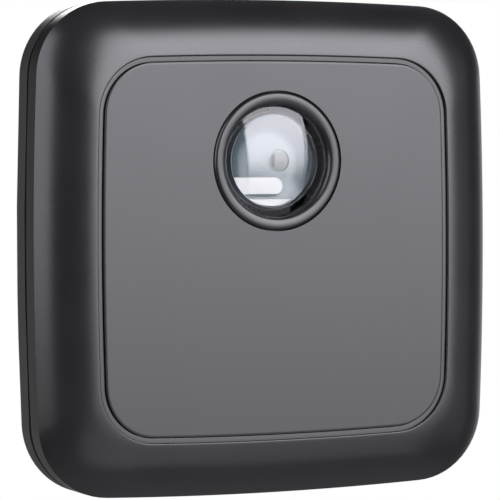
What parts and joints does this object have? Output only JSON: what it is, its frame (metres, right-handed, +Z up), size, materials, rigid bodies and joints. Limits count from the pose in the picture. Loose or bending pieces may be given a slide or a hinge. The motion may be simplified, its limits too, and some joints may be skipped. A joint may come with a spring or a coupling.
{
  "type": "light sensor",
  "caption": "Square wall-mounted light sensor with a crowned bezel, a domed lens in a raised ring, a battery door in the back and a slide-on wall bracket.",
  "frame": {"origin": "midpoint between the two wall screws, in the plane of the wall, at the back of the wall bracket", "axes": "+Z up, +X to the right seen from the front, +Y into the wall; the face and lens look towards -Y"},
  "size_m": [0.08, 0.0155, 0.08],
  "materials": {
    "case_black": "satin moulded ABS, very fine texture",
    "panel_black": "fine satin texture",
    "ring_black": "satin moulded",
    "lens_clear": "clear polycarbonate, polished",
    "seal_rubber": "matt silicone rubber",
    "adhesive_tape": "matt foam tape",
    "well_grey": "pale grey, polished mould",
    "sensor_brown": "tinted epoxy",
    "board_green": "glass-epoxy board, green mask",
    "chip_black": "moulded epoxy",
    "chip_tan": "fired ceramic",
    "led_clear": "diffused epoxy",
    "trimmer_blue": "moulded",
    "dial_white": "moulded",
    "button_red": "moulded",
    "steel": "nickel-plated",
    "screw_steel": "zinc-plated"
  },
  "bodies": {
    "wall_bracket": {"wall_bracket": "case_black"},
    "sensor": {"front_cover": "case_black", "front_panel": "panel_black", "panel_adhesive": "adhesive_tape", "lens_ring": "ring_black", "lens": "lens_clear", "lens_gasket": "seal_rubber", "light_well": "well_grey", "photodiode": "sensor_brown", "case_seal": "seal_rubber", "rear_cover": "case_black", "case_screws": "screw_steel", "circuit_board": "board_green", "board_screws": "screw_steel", "microcontroller": "chip_black", "radio_chip": "chip_black", "crystal": "steel", "chip_capacitors": "chip_tan", "antenna": "steel", "status_led": "led_clear", "coin_cell": "steel", "cell_base_contact": "steel", "cell_side_clip": "steel", "trimmer_bodies": "trimmer_blue", "learn_switch_body": "chip_black"},
    "battery_door": {"battery_door": "case_black", "door_gasket": "seal_rubber", "door_screws": "screw_steel"},
    "learn_button": {"learn_button": "button_red"},
    "lux_dial": {"lux_dial": "dial_white"},
    "timer_dial": {"timer_dial": "dial_white"}
  },
  "joints": [
    {"name": "bracket_slide", "type": "slide", "parent": "wall_bracket", "child": "sensor", "axis": [0, 0, 1], "range_m": [0, 0.009]},
    {"name": "door_lift", "type": "slide", "parent": "sensor", "child": "battery_door", "axis": [0, 1, 0], "range_m": [0, 0.003]},
    {"name": "learn_press", "type": "slide", "parent": "sensor", "child": "learn_button", "axis": [0, -1, 0], "range_m": [0, 0.0003], "stiffness_N_per_m": 2000},
    {"name": "lux_turn", "type": "hinge", "parent": "sensor", "child": "lux_dial", "pos_m": [0.0083, -0.0069, 0.0006], "axis": [0, 1, 0], "range_deg": [-135, 135]},
    {"name": "timer_turn", "type": "hinge", "parent": "sensor", "child": "timer_dial", "pos_m": [0.0083, -0.0069, -0.0096], "axis": [0, 1, 0], "range_deg": [-135, 135]}
  ]
}
